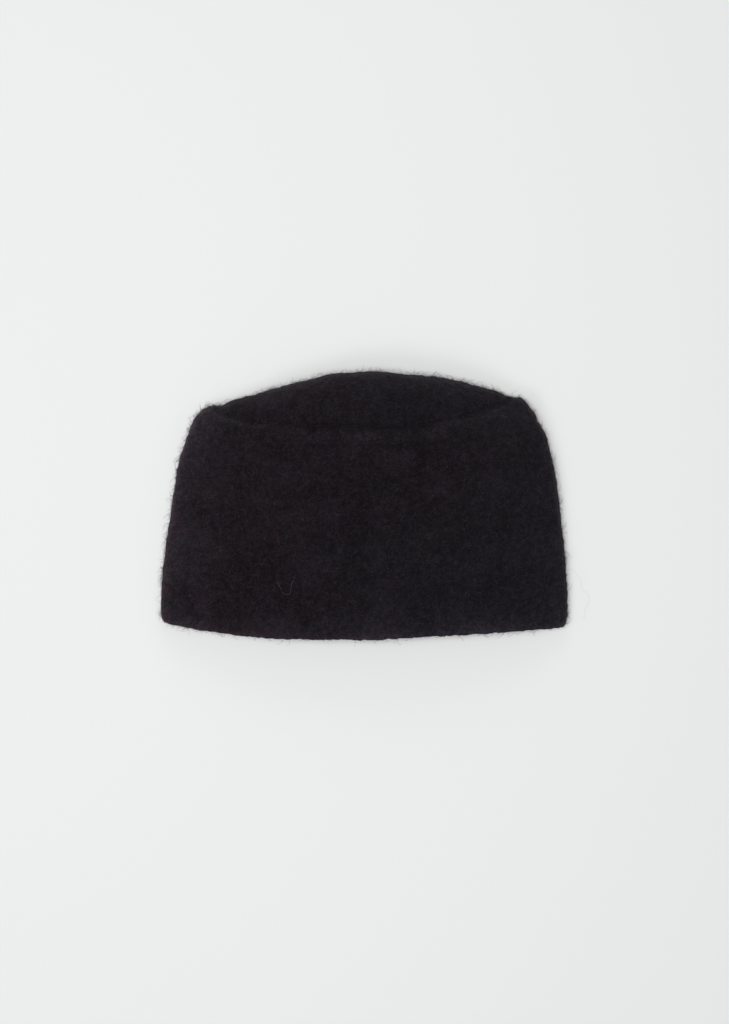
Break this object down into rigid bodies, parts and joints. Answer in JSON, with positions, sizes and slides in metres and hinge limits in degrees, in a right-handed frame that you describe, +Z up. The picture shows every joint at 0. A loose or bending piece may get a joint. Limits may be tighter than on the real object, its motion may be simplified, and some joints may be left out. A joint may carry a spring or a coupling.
{
  "type": "felt toque",
  "caption": "Brimless toque of thick felt lying flat: a tapered band with one upright seam and a raw hem, closed by an oval tip sewn in at the top.",
  "frame": {"origin": "on the surface that the hat lies on, under the middle of its outline", "axes": "+X across the hat along its hem, +Y from the hem towards the tip, +Z up from the surface"},
  "size_m": [0.2852, 0.1886, 0.0394],
  "materials": {
    "felt": "dense felted wool, near black, matt, with short fuzz"
  },
  "bodies": {
    "root": {"band": "felt", "tip": "felt"}
  },
  "joints": []
}
